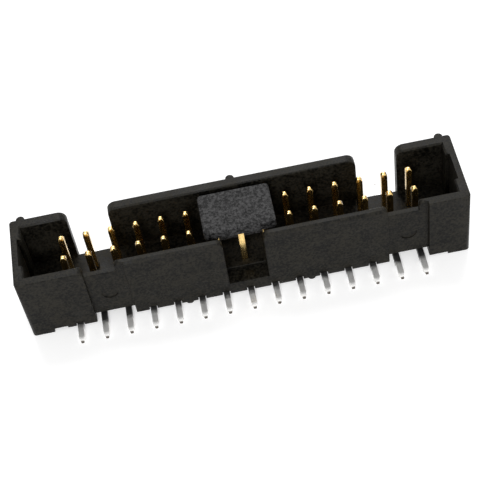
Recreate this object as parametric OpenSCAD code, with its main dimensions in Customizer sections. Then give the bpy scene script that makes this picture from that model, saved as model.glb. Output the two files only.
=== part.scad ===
// Surface-mount shrouded box header: a moulded shroud, two rows of square bent
// contacts, and a clip-on cap that a vacuum nozzle lifts the header by.
// X runs along the rows, -Y is the side with the key slot, Z = 0 is the board.

/* [Contacts] */
// Contacts in each of the two rows
columns = 15; // [11:1:25]
// Spacing of the contacts, along a row and between the rows
pitch = 2.54; // [2.5:0.02:2.8]
// Side of the square contact wire
wire = 0.64; // [0.5:0.02:0.7]
// Height of the contact tips above the board
tip_z = 8.2; // [7.9:0.05:8.4]
// Distance between the two rows' tail ends
tail_span = 12.8; // [11.6:0.1:14.5]
// Inside radius of the bend between post and tail
bend_r = 0.28; // [0.1:0.02:0.5]
// Length of the point at each end of a contact
point_len = 0.62; // [0.3:0.02:0.9]
// Side of the blunt end of a point
point_w = 0.28; // [0.1:0.02:0.44]

/* [Shroud] */
// Outer width of the shroud, across the rows
body_w = 8.4; // [8.2:0.1:9.6]
// Height of the shroud's rim above the board
body_h = 8.6; // [8.5:0.05:9.6]
// Distance from the last contact to the shroud's end face
end_margin = 4.97; // [4.8:0.05:6]
// Thickness of the two long walls
wall = 1.0; // [0.9:0.05:1.1]
// Thickness of the two end walls
end_wall = 1.05; // [0.8:0.05:1.4]
// Radius of the four upright outer corners
corner_r = 0.35; // [0.1:0.05:0.7]
// Height of the cavity floor above the board
floor_z = 2.5; // [2.2:0.05:3.2]
// Height of the base's underside above the board
base_z = 1.25; // [1.2:0.05:1.6]
// Height of the long walls' lower edge above the board
skirt_z = 0.3; // [0.15:0.05:0.5]
// Lead-in chamfer round the mouth of the cavity
mouth_chamfer = 0.15; // [0.05:0.05:0.3]

/* [Key side] */
// Width of the key slot
key_w = 4.1; // [3.4:0.1:4.8]
// Height of the ledge at the foot of the key slot
key_ledge_z = 2.0; // [1.6:0.05:2.15]
// Depth of that ledge, measured in from the face of the end lands
key_ledge_depth = 1.8; // [1.2:0.05:2]
// Flare radius at the top of the key slot
key_flare_r = 0.7; // [0.3:0.05:1]
// Set-back of the middle land behind the end lands
middle_setback = 0.2; // [0.05:0.05:0.3]
// Set-back of the two side panels behind the end lands
panel_setback = 0.42; // [0.34:0.02:0.5]
// Width of a side panel
panel_w = 4.1; // [3.6:0.1:4.6]
// Pitches from the first contact to the left panel's middle
panel_left_in = 1.5; // [1:0.5:2]
// Pitches from the last contact to the right panel's middle
panel_right_in = 0.5; // [0:0.5:1]
// Drop of the rim over a side panel
dip_depth = 1.15; // [0.7:0.05:2]
// Width of that dropped rim
dip_w = 3.2; // [2.6:0.1:3.4]
// Flare radius at the ends of a dropped rim
dip_flare_r = 0.55; // [0.2:0.05:0.6]
// Chamfer along the top of the middle land
land_chamfer = 0.25; // [0.05:0.05:0.4]
// Diameter of the ejector mark in a side panel
ejector_d = 1.7; // [1:0.1:2.4]
// Depth of the ejector mark
ejector_depth = 0.08; // [0.04:0.02:0.16]
// Height of the middle of an ejector mark above the board
ejector_z = 4.2; // [3.2:0.1:5.4]

/* [Plain side] */
// Width of a window
window_w = 4.2; // [3:0.1:5]
// Distance from the last contact to the middle of a window
window_in = 2.9; // [2.2:0.1:3.4]
// Flare radius at the top of a window
window_flare_r = 0.9; // [0.4:0.05:1.2]
// Radius of the half-round ribs on the outside
rib_r = 0.45; // [0.3:0.05:0.6]
// Distance from the end face to the middle of an end rib
rib_in = 1.15; // [1.1:0.05:1.6]

/* [Ends and underside] */
// Width of the groove inside each end wall
groove_w = 3.3; // [2:0.1:4.4]
// Depth of the groove inside each end wall
groove_depth = 0.4; // [0.2:0.05:0.5]
// Length of the foot under each end
foot_len = 2.25; // [1.6:0.05:2.8]
// Width of the index notch beside the first foot
notch_w = 1.4; // [0.8:0.1:1.6]
// Height of the index notch above the lower edge of the long walls
notch_h = 0.25; // [0.1:0.05:0.5]
// Width of a stand-off rib under the base
standoff_w = 0.8; // [0.5:0.05:1]
// Pitches from the end contact of a row to a stand-off rib
standoff_in = 4.5; // [1.5:1:4.5]
// Clearance round a tail where it leaves under a long wall
tail_gap = 0.08; // [0.05:0.01:0.15]

/* [Pick-up cap] */
// Length of the plate of the cap
cap_l = 7.3; // [6.6:0.1:8.4]
// Width of the plate of the cap
cap_w = 5.1; // [4.4:0.1:5.8]
// Thickness of the plate over the contact tips
cap_web = 0.55; // [0.3:0.05:1]
// Depth of the sockets that take the contact tips
cap_socket = 0.5; // [0.3:0.05:0.6]
// Radius of the corners of the plate
cap_r = 0.4; // [0.1:0.05:0.8]
// Distance from the end of the plate to the grip below it
grip_inset = 0.5; // [0.3:0.05:1]
// Length of the grip below the plate
grip_len = 2.4; // [1:0.1:4]
// Chamfer at the foot of the grip
grip_chamfer = 0.4; // [0.1:0.05:0.6]

/* [Hidden] */
$fn = 48;
cut = 0.5;                                  // how far a cutter runs past a face
row_len = (columns - 1) * pitch;
row_y = pitch / 2;
body_l = row_len + 2 * end_margin;
face_y = body_w / 2;                        // outer face of the long walls
inner_y = face_y - wall;                    // inside face of the long walls
end_x = body_l / 2;
inner_x = end_x - end_wall;
panel_left_x = panel_left_in * pitch - row_len / 2;
panel_right_x = row_len / 2 - panel_right_in * pitch;
window_x = row_len / 2 - window_in;
standoff_x = row_len / 2 - standoff_in * pitch;
pocket_x = end_x - foot_len;                // end of the hollow under the base
post_foot_z = wire + bend_r;                // where a post runs into its bend
tail_reach = tail_span / 2 - row_y;         // from the middle of a post to its tail end
cap_x = column_x(ceil(columns / 2));        // the cap is centred on this contact
cap_bottom_z = tip_z - cap_socket;
cap_top_z = tip_z + cap_web;
grip_w = pitch - wire;                      // fits between the two rows
grip_l = cap_l - 2 * grip_inset;
housing_colour = [0.09, 0.09, 0.085];
cap_colour = [0.17, 0.17, 0.175];
contact_colour = [0.86, 0.68, 0.30];

function column_x(c) = (c - 1) * pitch - row_len / 2;
function two_digits(n) = n < 10 ? str("0", n) : str(n);
function contact_name(row, c) = str("pin_", row, "_", two_digits(c));

// Rectangle with true round corners, centred on the origin
module rounded_rectangle(l, w, r) {
    square([l - 2 * r, w], center = true);
    square([l, w - 2 * r], center = true);
    for (x = [-1, 1], y = [-1, 1])
        translate([x * (l / 2 - r), y * (w / 2 - r)]) circle(r);
}

// Widening outline of a bevel: half its width at z_from, and one more for
// each step that it rises
module funnel_profile(half, z_from) {
    rise = mouth_chamfer + cut;
    polygon([[-half, z_from], [half, z_from],
             [half + rise, z_from + rise], [-half - rise, z_from + rise]]);
}

// Gap in a wall, seen from the front. Its top is on the X axis, and its two
// upper corners flare out into the rim by r
module flared_gap(w, depth, r) {
    translate([-w / 2, -depth]) square([w, depth + cut]);
    difference() {
        translate([-w / 2 - r, -r]) square([w + 2 * r, r + cut]);
        for (x = [-1, 1]) translate([x * (w / 2 + r), -r]) circle(r);
    }
}

// Cutter for such a gap through the wall that lies between y_from and y_to
module wall_gap(x, y_from, y_to, w, depth, r) {
    translate([x, y_to, body_h]) rotate([90, 0, 0])
        linear_extrude(y_to - y_from) flared_gap(w, depth, r);
}

// Cutter that sets the key side's face back between two places along X
module face_setback(x_from, x_to, depth) {
    translate([x_from, -face_y - cut, -cut])
        cube([x_to - x_from, depth + cut, body_h + 2 * cut]);
}

module shroud_block() {
    translate([0, 0, skirt_z])
        linear_extrude(body_h - skirt_z) rounded_rectangle(body_l, body_w, corner_r);
    intersection() {
        linear_extrude(base_z) rounded_rectangle(body_l, body_w, corner_r);
        for (s = [-1, 1])
            translate([s * (end_x - foot_len / 2), 0, base_z / 2])
                cube([foot_len, body_w, base_z], center = true);
    }
}

module outer_ribs() {
    for (x = [rib_in - end_x, 0, end_x - rib_in])
        translate([x, face_y, skirt_z]) cylinder(r = rib_r, h = body_h - skirt_z);
}

module cavity() {
    translate([-inner_x, -inner_y, floor_z])
        cube([2 * inner_x, 2 * inner_y, body_h]);
    for (s = [-1, 1])
        translate([s * inner_x, 0, floor_z + body_h / 2])
            cube([2 * groove_depth, groove_w, body_h], center = true);
    intersection() {
        rotate([90, 0, 0]) linear_extrude(body_w, center = true)
            funnel_profile(inner_x, body_h - mouth_chamfer);
        rotate([90, 0, 90]) linear_extrude(body_l, center = true)
            funnel_profile(inner_y, body_h - mouth_chamfer);
    }
}

module underside_hollow() {
    translate([-pocket_x, -inner_y, -cut])
        cube([2 * pocket_x, 2 * inner_y, base_z + cut]);
}

module tail_exits() {
    for (c = [1:columns])
        translate([column_x(c) - wire / 2 - tail_gap, -face_y - cut, -cut])
            cube([wire + 2 * tail_gap, body_w + 2 * cut, wire + tail_gap + cut]);
}

// Square holes that the posts are pressed through, fitting their faces
module post_holes() {
    for (c = [1:columns], y = [-row_y, row_y])
        translate([column_x(c) - wire / 2, y - wire / 2, base_z - cut])
            cube([wire, wire, floor_z - base_z + 2 * cut]);
}

module key_slot() {
    wall_gap(0, -face_y - cut, key_ledge_depth - face_y, key_w, body_h - key_ledge_z, key_flare_r);
}

module middle_land_cuts() {
    x_from = panel_left_x + panel_w / 2;
    x_to = panel_right_x - panel_w / 2;
    face_setback(x_from, x_to, middle_setback);
    translate([x_from, middle_setback - face_y, body_h]) rotate([90, 0, 90])
        linear_extrude(x_to - x_from)
            polygon([[-cut, -land_chamfer - cut], [land_chamfer + cut, cut], [-cut, cut]]);
}

module side_panel_cuts(x) {
    x_from = x - panel_w / 2;
    face_setback(x_from, x_from + panel_w, panel_setback);
    translate([x_from, -face_y - cut, -cut]) cube([panel_w, wall + cut, base_z + cut]);
    wall_gap(x_from + dip_w / 2, -face_y - cut, cut - inner_y, dip_w, dip_depth, dip_flare_r);
    translate([x, -face_y, ejector_z]) rotate([-90, 0, 0])
        cylinder(d = ejector_d, h = panel_setback + ejector_depth);
}

module windows() {
    for (s = [-1, 1])
        wall_gap(s * window_x, inner_y, face_y + cut, window_w, body_h + cut, window_flare_r);
}

module index_notch() {
    translate([-pocket_x, -face_y - cut, skirt_z - cut])
        cube([notch_w, wall + cut, notch_h + cut]);
}

module standoff_ribs() {
    for (s = [-1, 1])
        translate([s * standoff_x, face_y, 0]) rotate([90, 0, 0])
            linear_extrude(body_w - middle_setback) {
                translate([-standoff_w / 2, standoff_w / 2])
                    square([standoff_w, base_z - standoff_w / 2]);
                translate([0, standoff_w / 2]) circle(d = standoff_w);
            }
}

module housing() {
    color(housing_colour) {
        difference() {
            union() {
                shroud_block();
                outer_ribs();
            }
            cavity();
            underside_hollow();
            tail_exits();
            post_holes();
            key_slot();
            middle_land_cuts();
            side_panel_cuts(panel_left_x);
            side_panel_cuts(panel_right_x);
            windows();
            index_notch();
        }
        standoff_ribs();
    }
}

module pickup_cap() {
    color(cap_colour) translate([cap_x, 0, 0]) {
        difference() {
            translate([0, 0, cap_bottom_z])
                linear_extrude(cap_top_z - cap_bottom_z) rounded_rectangle(cap_l, cap_w, cap_r);
            for (c = [1:columns], y = [-row_y, row_y])
                if (abs(column_x(c) - cap_x) < cap_l / 2)
                    translate([column_x(c) - cap_x, y, cap_bottom_z])
                        cube([wire, wire, 2 * cap_socket], center = true);
        }
        cap_grip();
    }
}

// Block below the plate that is held between the two rows of posts
module cap_grip() {
    rotate([90, 0, 0]) linear_extrude(grip_w, center = true)
        polygon([[-grip_l / 2, cap_bottom_z], [-grip_l / 2, cap_bottom_z - grip_len + grip_chamfer],
                 [grip_chamfer - grip_l / 2, cap_bottom_z - grip_len],
                 [grip_l / 2 - grip_chamfer, cap_bottom_z - grip_len],
                 [grip_l / 2, cap_bottom_z - grip_len + grip_chamfer], [grip_l / 2, cap_bottom_z]]);
}

// Four-sided point that stands on the XY plane
module point() {
    intersection_for(turn = [0, 90])
        rotate([90, 0, turn]) linear_extrude(2 * wire, center = true)
            polygon([[-wire / 2, 0], [wire / 2, 0], [point_w / 2, point_len], [-point_w / 2, point_len]]);
}

// One contact of the front row: its post stands on the Z axis, and its tail
// runs out along -Y on the board
module contact() {
    post_top_z = tip_z - point_len;
    bend_y = wire / 2 + bend_r;
    tail_end_y = tail_reach - point_len;
    translate([-wire / 2, -wire / 2, post_foot_z]) cube([wire, wire, post_top_z - post_foot_z]);
    translate([0, 0, post_top_z]) point();
    translate([0, -bend_y, post_foot_z]) rotate([-90, 0, 90])
        rotate_extrude(angle = 90) translate([bend_r, -wire / 2]) square(wire);
    translate([-wire / 2, -tail_end_y, 0]) cube([wire, tail_end_y - bend_y, wire]);
    translate([0, -tail_end_y, wire / 2]) rotate([90, 0, 0]) point();
}

module row_contact(row, c) {
    color(contact_colour)
        mirror([0, row == "rear" ? 1 : 0, 0])
            translate([column_x(c), -row_y, 0]) contact();
}

housing();
pickup_cap();
for (row = ["front", "rear"], c = [1:columns])
    row_contact(row, c);
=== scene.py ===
"""Surface-mount box header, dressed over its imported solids: the moulded
shroud, the bent and plated contacts, and the cap that a vacuum nozzle lifts."""

import math

import bmesh
import bpy
from bpy.props import FloatProperty, FloatVectorProperty, PointerProperty
from mathutils import Matrix, Vector


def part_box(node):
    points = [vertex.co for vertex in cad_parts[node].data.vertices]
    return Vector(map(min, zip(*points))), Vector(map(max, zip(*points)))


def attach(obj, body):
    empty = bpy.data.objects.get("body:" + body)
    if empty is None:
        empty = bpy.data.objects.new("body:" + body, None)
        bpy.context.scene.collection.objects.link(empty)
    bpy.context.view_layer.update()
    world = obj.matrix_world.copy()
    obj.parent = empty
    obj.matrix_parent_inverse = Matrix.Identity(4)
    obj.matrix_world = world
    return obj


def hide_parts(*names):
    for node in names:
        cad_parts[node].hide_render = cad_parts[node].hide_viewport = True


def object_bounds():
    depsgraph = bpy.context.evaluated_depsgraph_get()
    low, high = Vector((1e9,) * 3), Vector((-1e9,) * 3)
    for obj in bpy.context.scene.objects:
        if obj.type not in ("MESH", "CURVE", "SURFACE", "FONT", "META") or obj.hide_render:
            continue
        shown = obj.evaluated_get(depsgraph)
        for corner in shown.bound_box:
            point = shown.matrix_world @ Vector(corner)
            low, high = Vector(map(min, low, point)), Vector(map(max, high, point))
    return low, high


bl_info = {
    "name": "Box header",
    "version": (1, 0, 0),
    "blender": (4, 5, 0),
    "location": "View3D > Sidebar > Box header",
    "description": "Builds a surface-mount box header over its packed solids",
    "category": "Add Mesh",
}

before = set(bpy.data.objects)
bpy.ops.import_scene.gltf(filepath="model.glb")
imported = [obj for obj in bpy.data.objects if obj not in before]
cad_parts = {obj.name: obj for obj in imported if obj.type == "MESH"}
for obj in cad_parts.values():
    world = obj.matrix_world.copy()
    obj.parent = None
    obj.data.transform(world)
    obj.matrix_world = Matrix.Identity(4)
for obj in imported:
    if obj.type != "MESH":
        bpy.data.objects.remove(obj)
MM = 0.001
WHITE = (1.0, 1.0, 1.0, 1.0)
CONTACTS = sorted(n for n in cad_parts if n.startswith("pin_"))

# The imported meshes: corners this close are one corner, and faces this near to one
# plane are one face.
SAME_POINT = 0.0005 * MM
SAME_PLANE = math.radians(0.4)

# Edges sharper than SHARP_EDGE are rounded, unless a face beside them is tiny.
SHARP_EDGE = math.radians(50)
TINY_MOULDED_FACE = 0.3 * MM
TINY_WIRE_FACE = 0.2 * MM
EDGE_SEGMENTS = 2
TIP_SEGMENTS = 3

# Shading: edges sharper than these stay crisp, and large faces count for the most.
MOULDED_CREASE = math.radians(32)
WIRE_CREASE = math.radians(30)
LARGE_FACE_WEIGHT = 80

# Each contact, measured down from the top of its post, and the sheared end of its tail.
SHOULDER_BAND = (0.4 * MM, 0.7 * MM)
TIP_BAND = 0.01 * MM
SHEARED_LENGTH = 0.12 * MM
SHEARED_METAL = (0.13, 0.115, 0.10)

# The Mix node's sockets for colours.
MIX_FACTOR, MIX_FIRST, MIX_SECOND, MIX_RESULT = 0, 6, 7, 2

# Each lamp's name, the setting that holds its power, its place and its width, in metres.
LAMPS = (
    ("key_lamp", "key", (-0.09, -0.38, 0.31), 0.11),
    ("fill_lamp", "fill", (0.40, -0.12, 0.26), 0.30),
    ("back_lamp", "back", (0.03, 0.30, 0.38), 0.28),
)
FLOOR_RADIUS = 1.5
FLOOR_SIDES = 96
FLOOR_COLOUR = (0.80, 0.80, 0.80, 1.0)
FLOOR_GLOW = 0.48
SENSOR_WIDTH_MM = 36.0
NEAREST_SEEN = 0.005
FARTHEST_SEEN = 10.0


def as_lists(corners):
    """A box's two corners as plain lists of numbers."""
    return [[float(v) for v in corner] for corner in corners]


CAD_BOX = as_lists(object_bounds())


# ---------------------------------------------------------------- materials


class Channel:
    """A value that varies over a surface. Python's operators add its Math nodes."""

    def __init__(self, tree, socket):
        self.tree = tree
        self.socket = socket

    def maths(self, operation, *values):
        node = self.tree.nodes.new("ShaderNodeMath")
        node.operation = operation
        for slot, value in zip(node.inputs, values):
            plug(self.tree, value, slot)
        return Channel(self.tree, node.outputs[0])

    def __add__(self, other):
        return self.maths("ADD", self, other)

    def __sub__(self, other):
        return self.maths("SUBTRACT", self, other)

    def __rsub__(self, other):
        return self.maths("SUBTRACT", other, self)

    def __mul__(self, other):
        return self.maths("MULTIPLY", self, other)

    def __abs__(self):
        return self.maths("ABSOLUTE", self)

    def larger(self, other):
        """Whichever is larger, this channel or the other."""
        return self.maths("MAXIMUM", self, other)


def plug(tree, value, slot):
    """Links a channel to a socket, or sets the socket to a number or colour."""
    if isinstance(value, Channel):
        tree.links.new(value.socket, slot)
    else:
        slot.default_value = value


class Finish:
    """A material with one Principled shader, whose constants sit on its sockets."""

    def __init__(self, name, constants):
        self.material = bpy.data.materials.new(name)
        self.material.use_nodes = True
        self.tree = self.material.node_tree
        self.shader = self.tree.nodes["Principled BSDF"]
        self.set(constants)
        self.place = self.add("ShaderNodeTexCoord", output="Object")

    def add(self, kind, settings=None, sockets=None, output=0):
        """Adds a node: its settings first, then its sockets' values or links."""
        node = self.tree.nodes.new(kind)
        for name, value in (settings or {}).items():
            setattr(node, name, value)
        for name, value in (sockets or {}).items():
            plug(self.tree, value, node.inputs[name])
        return Channel(self.tree, node.outputs[output])

    def set(self, sockets):
        for name, value in sockets.items():
            plug(self.tree, value, self.shader.inputs[name])

    def noise(self, size_mm, detail=3.0, roughness=0.55, stretch=(1, 1, 1),
              shift=(0, 0, 0)):
        """Noise with features about size_mm across, drawn out along an axis by stretch."""
        place = self.add("ShaderNodeMapping", sockets={
            "Vector": self.place, "Location": shift,
            "Scale": [1.0 / (size_mm * MM * s) for s in stretch]})
        return self.add("ShaderNodeTexNoise", sockets={
            "Vector": place, "Scale": 1.0, "Detail": detail, "Roughness": roughness})

    def ramp(self, value, low, high, to_low=0.0, to_high=1.0):
        """Maps low..high of a channel to to_low..to_high, and holds it there outside."""
        return self.add("ShaderNodeMapRange", {"clamp": True}, {
            "Value": value, "From Min": low, "From Max": high,
            "To Min": to_low, "To Max": to_high})

    def step(self, value, at, blur_mm):
        """0 below at and 1 above it, with a ramp of blur_mm on either side."""
        return self.ramp(value, at - blur_mm * MM, at + blur_mm * MM)

    def coordinate(self, axis):
        """The place along one axis, in metres."""
        return self.add("ShaderNodeSeparateXYZ", sockets={"Vector": self.place}, output=axis)

    def blend(self, factor, a, b):
        """Colour a where factor is 0, and colour b where it is 1."""
        node = self.tree.nodes.new("ShaderNodeMix")
        node.data_type = "RGBA"
        for slot, value in ((MIX_FACTOR, factor), (MIX_FIRST, a), (MIX_SECOND, b)):
            plug(self.tree, value, node.inputs[slot])
        return Channel(self.tree, node.outputs[MIX_RESULT])

    def relief(self, height, depth_mm, strength):
        """Bump from a height channel of 0..1, depth_mm deep."""
        normal = self.add("ShaderNodeBump", sockets={
            "Strength": strength, "Distance": depth_mm * MM, "Height": height})
        self.set({"Normal": normal})


def rgba(colour):
    return (colour[0], colour[1], colour[2], 1.0)


def tinted(colour, factor):
    return rgba([part * factor for part in colour])


def moulded_black(colour):
    """Glass-filled moulding: near-black, with fibre grain, faint flow lines and dust."""
    skin = Finish("moulded_black", {"Specular IOR Level": 0.09, "Metallic": 0.0})
    fibre = skin.noise(0.24, roughness=0.6)
    cloud = skin.noise(2.6, detail=5.0, roughness=0.6, shift=(3.1, 0.4, 1.7))
    flow = skin.noise(0.9, stretch=(3.5, 1.0, 1.0), shift=(0.2, 5.0, 2.0))
    speck = skin.noise(0.20, detail=2.0, shift=(7.7, 2.1, 9.0))
    shade = skin.ramp(cloud * 0.3 + flow * 0.1 + fibre * 0.6, 0.42, 0.58)
    dust = skin.ramp(speck, 0.64, 0.74) * skin.ramp(cloud, 0.42, 0.60)
    base = skin.blend(shade, tinted(colour, 0.20), tinted(colour, 2.1))
    skin.set({
        "Base Color": skin.blend(dust * 0.30, base, tinted(colour, 6.0)),
        "Roughness": skin.ramp(fibre * 0.5 + cloud * 0.5, 0.38, 0.62, 0.28, 0.58),
    })
    skin.relief(fibre * 0.8 + flow * 0.3 + cloud * 0.6, depth_mm=0.05, strength=0.7)
    return skin.material


def textured_grey(colour):
    """The cap's spark-eroded matte finish, mottled a little darker and lighter."""
    skin = Finish("textured_grey", {"Specular IOR Level": 0.10, "Metallic": 0.0})
    pitting = skin.noise(0.24, roughness=0.7)
    mottle = skin.noise(1.1, detail=4.0, roughness=0.6, shift=(1.3, 4.0, 0.6))
    shade = skin.ramp(pitting * 0.85 + mottle * 0.15, 0.43, 0.59)
    skin.set({
        "Base Color": skin.blend(shade, tinted(colour, 0.05), tinted(colour, 3.2)),
        "Roughness": skin.ramp(pitting, 0.38, 0.64, 0.36, 0.66),
    })
    skin.relief(pitting * 0.8 + mottle * 0.3, depth_mm=0.10, strength=0.9)
    return skin.material


def plated_wire(gold, tin, plating_z, shroud_face_y, cut_end_y):
    """Drawn square wire: bright gold above plating_z and dull tin below it. Near the shroud's
    face the tin is painted nearly black as shade, and beyond cut_end_y it is sheared off."""
    skin = Finish("plated_wire", {"Metallic": 1.0, "Specular IOR Level": 0.5})
    height = skin.coordinate("Z")
    from_middle = abs(skin.coordinate("Y"))
    wave = skin.noise(0.5, detail=2.0)
    stain = skin.noise(0.6, shift=(2.0, 8.0, 1.0))
    on_post = skin.step(height + (wave - 0.5) * (0.3 * MM), plating_z, blur_mm=0.1)
    sheared = skin.step(from_middle + (wave - 0.5) * (0.1 * MM), cut_end_y, blur_mm=0.05)
    # Painted shade: the tail is darkened almost to black out to just past the shroud's face,
    # where the shroud's shadow and dark reflection fall.
    painted_shade_near_shroud = skin.ramp(from_middle + (stain - 0.5) * (0.8 * MM),
                       shroud_face_y + 0.1 * MM, shroud_face_y + 0.65 * MM,
                       to_low=0.95, to_high=0.0)

    post_lines = skin.noise(0.07, detail=2.0, stretch=(1, 1, 26))
    tail_lines = skin.noise(0.07, detail=2.0, stretch=(1, 26, 1))
    lines = tail_lines + (post_lines - tail_lines) * on_post

    gold_skin = skin.blend(skin.ramp(stain, 0.48, 0.72) * 0.7, rgba(gold), tinted(gold, 0.62))
    tin_skin = skin.blend(skin.ramp(stain, 0.45, 0.70) * 0.4, rgba(tin), tinted(tin, 0.75))
    # Blends in the painted shade next to the shroud.
    tin_skin = skin.blend(painted_shade_near_shroud, tin_skin, tinted(tin, 0.06))
    tail_skin = skin.blend(sheared, tin_skin, rgba(SHEARED_METAL))
    polish = skin.ramp(lines * 0.6 + stain * 0.4, 0.36, 0.64, to_low=0.12, to_high=0.26)
    skin.set({
        "Base Color": skin.blend(on_post, tail_skin, gold_skin),
        "Roughness": polish + (1 - on_post) * 0.32,
    })
    skin.relief(lines * 0.8 + stain * 0.3, depth_mm=0.006, strength=0.3)
    return skin.material


# ------------------------------------------------------------------- pieces


def merged_copy(node):
    """A CAD node's mesh with its corners joined and its flat faces made whole."""
    shape = bmesh.new()
    shape.from_mesh(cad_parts[node].data)
    bmesh.ops.remove_doubles(shape, verts=shape.verts, dist=SAME_POINT)
    bmesh.ops.dissolve_limit(shape, angle_limit=SAME_PLANE, use_dissolve_boundaries=False,
                             verts=shape.verts, edges=shape.edges)
    return shape


def is_tiny(face, size):
    return max(edge.calc_length() for edge in face.edges) < size


def round_these(shape, edges, radius, segments):
    """Bevels these edges to a radius."""
    bmesh.ops.bevel(shape, geom=edges, offset=radius, offset_type="OFFSET",
                    segments=segments, profile=0.5, affect="EDGES", material=-1,
                    clamp_overlap=False, loop_slide=True)


def round_edges(shape, radius, tiny):
    """Bevels the sharp outer edges, except those of faces smaller than tiny."""
    sharp = [e for e in shape.edges
             if e.is_manifold and e.is_convex and e.calc_face_angle() > SHARP_EDGE
             and not any(is_tiny(f, tiny) for f in e.link_faces)]
    round_these(shape, sharp, radius, EDGE_SEGMENTS)


def finish_piece(shape, name, material, crease_angle):
    """Turns a bmesh into a shown piece that rides on the one body."""
    bmesh.ops.triangulate(shape, faces=[f for f in shape.faces if len(f.verts) > 4])
    for face in shape.faces:
        face.smooth = True
    for edge in shape.edges:
        edge.smooth = not (edge.is_manifold and edge.calc_face_angle() > crease_angle)
    mesh = bpy.data.meshes.new(name)
    shape.to_mesh(mesh)
    shape.free()
    piece = bpy.data.objects.new(name, mesh)
    bpy.context.scene.collection.objects.link(piece)
    mesh.materials.append(material)
    weighting = piece.modifiers.new("even_shading", "WEIGHTED_NORMAL")
    weighting.keep_sharp = True
    weighting.weight = LARGE_FACE_WEIGHT
    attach(piece, "root")
    return piece


def sharpen_post(shape, rise, radius):
    """Starts the post's taper rise nearer its tip, and rounds the tip to a radius."""
    top = max(v.co.z for v in shape.verts)
    upper, lower = SHOULDER_BAND
    shoulder = [v for v in shape.verts if top - lower < v.co.z < top - upper]
    bmesh.ops.translate(shape, verts=shoulder, vec=(0, 0, rise))
    tip = [e for e in shape.edges if min(v.co.z for v in e.verts) > top - TIP_BAND]
    round_these(shape, tip, radius, TIP_SEGMENTS)


def stored(name, make):
    """A material by name, made the first time that it is asked for."""
    return bpy.data.materials.get(name) or make()


# --------------------------------------------------------------- properties


class HeaderEdges(bpy.types.PropertyGroup):
    """How far the edges of the pieces are rounded."""

    housing_edge: FloatProperty(
        name="Shroud edges", description="Radius of the shroud's moulded edges",
        default=0.07 * MM, min=0.01 * MM, max=0.09 * MM, precision=5, unit="LENGTH")
    cap_edge: FloatProperty(
        name="Cap edges", description="Radius of the cap's moulded edges",
        default=0.14 * MM, min=0.02 * MM, max=0.2 * MM, precision=5, unit="LENGTH")
    wire_edge: FloatProperty(
        name="Wire edges", description="Radius of the square wire's long edges",
        default=0.06 * MM, min=0.01 * MM, max=0.08 * MM, precision=5, unit="LENGTH")
    tip_edge: FloatProperty(
        name="Tip edges", description="Radius round the blunt end of each post",
        default=0.11 * MM, min=0.02 * MM, max=0.13 * MM, precision=5, unit="LENGTH")
    shoulder_rise: FloatProperty(
        name="Shoulder rise", description="How much nearer the tip each post starts to taper",
        default=0.22 * MM, min=0, max=0.3 * MM, precision=5, unit="LENGTH")
    plating_height: FloatProperty(
        name="Plating height", description="Height above the board where tin gives way to gold",
        default=1.8 * MM, min=1.3 * MM, max=2.4 * MM, precision=5, unit="LENGTH")


class HeaderColours(bpy.types.PropertyGroup):
    """The colours of the moulding, the cap and the two platings."""

    housing: FloatVectorProperty(
        name="Shroud", description="Colour of the moulded shroud",
        default=(0.0118, 0.0108, 0.0084), size=3, min=0, max=1, subtype="COLOR")
    cap: FloatVectorProperty(
        name="Cap", description="Colour of the pick-up cap",
        default=(0.0215, 0.0212, 0.0215), size=3, min=0, max=1, subtype="COLOR")
    gold: FloatVectorProperty(
        name="Gold", description="Colour of the gold plating on the posts",
        default=(0.93, 0.66, 0.27), size=3, min=0, max=1, subtype="COLOR")
    tin: FloatVectorProperty(
        name="Tin", description="Colour of the tin plating on the tails",
        default=(0.96, 0.955, 0.94), size=3, min=0, max=1, subtype="COLOR")


class HeaderStage(bpy.types.PropertyGroup):
    """Where the camera stands, and how bright the lamps and the room are."""

    turn: FloatProperty(
        name="Turn", description="Direction that the camera looks in, from +Y towards +X",
        default=math.radians(1.10), subtype="ANGLE")
    tilt: FloatProperty(
        name="Tilt", description="Angle at which the camera looks down",
        default=math.radians(51.71), subtype="ANGLE")
    roll: FloatProperty(
        name="Roll", description="Roll of the camera about its line of sight",
        default=math.radians(-10.43), subtype="ANGLE")
    distance: FloatProperty(
        name="Distance", description="Distance from the camera to the point it aims at",
        default=0.13686, min=0.05, unit="LENGTH")
    aim: FloatVectorProperty(
        name="Aim", description="Point that the camera aims at",
        default=(-0.17 * MM, -0.29 * MM, 4.0 * MM), size=3, subtype="TRANSLATION")
    lens: FloatProperty(
        name="Lens", description="Focal length on a 36 mm sensor, in millimetres",
        default=100.73, min=20, max=300)
    room: FloatProperty(
        name="Room light", description="Strength of the even light from all round",
        default=0.42, min=0, max=2)
    key: FloatProperty(
        name="Key lamp", description="Power of the main lamp",
        default=0.80, min=0, unit="POWER")
    fill: FloatProperty(
        name="Fill lamp", description="Power of the lamp opposite",
        default=0.30, min=0, unit="POWER")
    back: FloatProperty(
        name="Back lamp", description="Power of the lamp behind",
        default=1.35, min=0, unit="POWER")


# ---------------------------------------------------------------- operators


class BOXHEADER_OT_housing(bpy.types.Operator):
    """Dress the moulded shroud"""

    bl_idname = "box_header.housing"
    bl_label = "Shroud"

    def execute(self, context):
        edges, colours = context.scene.header_edges, context.scene.header_colours
        shape = merged_copy("housing")
        round_edges(shape, edges.housing_edge, TINY_MOULDED_FACE)
        skin = stored("moulded_black", lambda: moulded_black(colours.housing))
        piece = finish_piece(shape, "shroud", skin, MOULDED_CREASE)
        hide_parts("housing")
        return {"FINISHED"}


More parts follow.
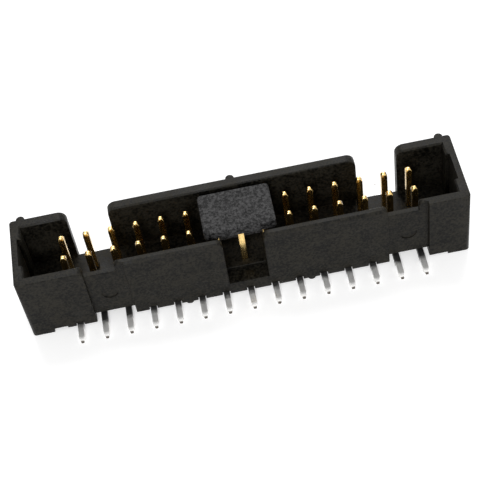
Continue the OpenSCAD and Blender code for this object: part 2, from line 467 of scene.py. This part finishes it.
class BOXHEADER_OT_contacts(bpy.types.Operator):
    """Dress both rows of bent contacts"""

    bl_idname = "box_header.contacts"
    bl_label = "Contacts"

    def execute(self, context):
        edges, colours = context.scene.header_edges, context.scene.header_colours
        if not CONTACTS:
            raise RuntimeError("the packed model has no contacts")
        wall_face_y = -float(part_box("housing")[0][1])
        tail_end_y = CAD_BOX[1][1]
        skin = stored("plated_wire", lambda: plated_wire(
            colours.gold, colours.tin, edges.plating_height,
            shroud_face_y=wall_face_y, cut_end_y=tail_end_y - SHEARED_LENGTH))
        for node in CONTACTS:
            shape = merged_copy(node)
            sharpen_post(shape, edges.shoulder_rise, edges.tip_edge)
            round_edges(shape, edges.wire_edge, TINY_WIRE_FACE)
            piece = finish_piece(shape, node.replace("pin", "contact"), skin, WIRE_CREASE)
            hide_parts(node)
        return {"FINISHED"}


class BOXHEADER_OT_cap(bpy.types.Operator):
    """Dress the pick-up cap"""

    bl_idname = "box_header.cap"
    bl_label = "Pick-up cap"

    def execute(self, context):
        edges, colours = context.scene.header_edges, context.scene.header_colours
        shape = merged_copy("pickup_cap")
        round_edges(shape, edges.cap_edge, TINY_MOULDED_FACE)
        skin = stored("textured_grey", lambda: textured_grey(colours.cap))
        piece = finish_piece(shape, "lifting_cap", skin, MOULDED_CREASE)
        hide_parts("pickup_cap")
        return {"FINISHED"}


def lamp(name, place, width, power, aim):
    """A square soft lamp at place, turned to face aim."""
    light = bpy.data.lights.new(name, "AREA")
    light.energy = power
    light.size = width
    thing = bpy.data.objects.new(name, light)
    thing.location = place
    thing.rotation_euler = (Vector(aim) - Vector(place)).to_track_quat("-Z", "Y").to_euler()
    bpy.context.scene.collection.objects.link(thing)


def seen_directly(tree):
    """1 for rays from the camera, in reflections and through glass, and 0 for the rest."""
    path = tree.nodes.new("ShaderNodeLightPath")
    camera, glossy, glass = (
        Channel(tree, path.outputs[name])
        for name in ("Is Camera Ray", "Is Glossy Ray", "Is Transmission Ray"))
    return camera.larger(glossy).larger(glass)


def pale_floor():
    """Pale ground that looks near white, and keeps the shadow that falls on it."""
    material = bpy.data.materials.new("pale_floor")
    material.use_nodes = True
    tree = material.node_tree
    tree.nodes.clear()
    seen = seen_directly(tree)
    ground = tree.nodes.new("ShaderNodeBsdfDiffuse")
    ground.inputs["Color"].default_value = FLOOR_COLOUR
    glow = tree.nodes.new("ShaderNodeEmission")
    glow.inputs["Color"].default_value = WHITE
    plug(tree, seen * FLOOR_GLOW, glow.inputs["Strength"])
    both = tree.nodes.new("ShaderNodeAddShader")
    out = tree.nodes.new("ShaderNodeOutputMaterial")
    tree.links.new(ground.outputs[0], both.inputs[0])
    tree.links.new(glow.outputs[0], both.inputs[1])
    tree.links.new(both.outputs[0], out.inputs["Surface"])
    return material


class BOXHEADER_OT_stage(bpy.types.Operator):
    """Set the floor, the lamps, the room and the camera"""

    bl_idname = "box_header.stage"
    bl_label = "Stage"

    def execute(self, context):
        stage = context.scene.header_stage
        self.floor()
        self.room(context.scene, stage.room)
        for name, setting, place, width in LAMPS:
            lamp(name, place, width, getattr(stage, setting), stage.aim)
        self.camera(context.scene, stage)
        context.scene.view_settings.view_transform = "Standard"
        return {"FINISHED"}

    def floor(self):
        shape = bmesh.new()
        bmesh.ops.create_circle(shape, cap_ends=True, segments=FLOOR_SIDES,
                                radius=FLOOR_RADIUS)
        mesh = bpy.data.meshes.new("floor")
        shape.to_mesh(mesh)
        shape.free()
        mesh.materials.append(stored("pale_floor", pale_floor))
        ground = bpy.data.objects.new("floor", mesh)
        bpy.context.scene.collection.objects.link(ground)

    def room(self, scene, strength):
        world = bpy.data.worlds.new("room")
        world.use_nodes = True
        scene.world = world
        tree = world.node_tree
        sky = tree.nodes["Background"]
        sky.inputs["Color"].default_value = WHITE
        seen = seen_directly(tree)
        plug(tree, seen * (1.0 - strength) + strength, sky.inputs["Strength"])

    def camera(self, scene, stage):
        ahead = Vector((math.sin(stage.turn) * math.cos(stage.tilt),
                        math.cos(stage.turn) * math.cos(stage.tilt),
                        -math.sin(stage.tilt)))
        level = Vector((math.cos(stage.turn), -math.sin(stage.turn), 0.0))
        upright = level.cross(ahead)
        right = level * math.cos(stage.roll) + upright * math.sin(stage.roll)
        above = upright * math.cos(stage.roll) - level * math.sin(stage.roll)
        view = bpy.data.cameras.new("camera")
        view.lens = stage.lens
        view.sensor_width = SENSOR_WIDTH_MM
        view.clip_start = NEAREST_SEEN
        view.clip_end = FARTHEST_SEEN
        viewer = bpy.data.objects.new("camera", view)
        place = Matrix((right, above, -ahead)).transposed().to_4x4()
        place.translation = Vector(stage.aim) - ahead * stage.distance
        viewer.matrix_world = place
        scene.collection.objects.link(viewer)
        scene.camera = viewer


# -------------------------------------------------------------------- panel


STEPS = (BOXHEADER_OT_housing, BOXHEADER_OT_contacts, BOXHEADER_OT_cap, BOXHEADER_OT_stage)
GROUPS = (
    ("header_edges", HeaderEdges),
    ("header_colours", HeaderColours),
    ("header_stage", HeaderStage),
)


class BOXHEADER_PT_panel(bpy.types.Panel):
    """Lists the header's pieces and what can be changed on them"""

    bl_idname = "BOXHEADER_PT_panel"
    bl_label = "Box header"
    bl_space_type = "VIEW_3D"
    bl_region_type = "UI"
    bl_category = "Box header"

    def draw(self, context):
        for step in STEPS:
            self.layout.operator(step.bl_idname)
        for attribute, group in GROUPS:
            box = self.layout.box()
            for name in group.__annotations__:
                box.prop(getattr(context.scene, attribute), name)


def register():
    for _, group in GROUPS:
        bpy.utils.register_class(group)
    for kind in STEPS + (BOXHEADER_PT_panel,):
        bpy.utils.register_class(kind)
    for attribute, group in GROUPS:
        setattr(bpy.types.Scene, attribute, PointerProperty(type=group))


def unregister():
    for attribute, _ in GROUPS:
        delattr(bpy.types.Scene, attribute)
    for kind in (BOXHEADER_PT_panel,) + STEPS[::-1]:
        bpy.utils.unregister_class(kind)
    for _, group in GROUPS[::-1]:
        bpy.utils.unregister_class(group)


def main():
    register()
    bpy.ops.box_header.housing()
    bpy.ops.box_header.contacts()
    bpy.ops.box_header.cap()
    bpy.ops.box_header.stage()


if __name__ == "__main__":
    main()
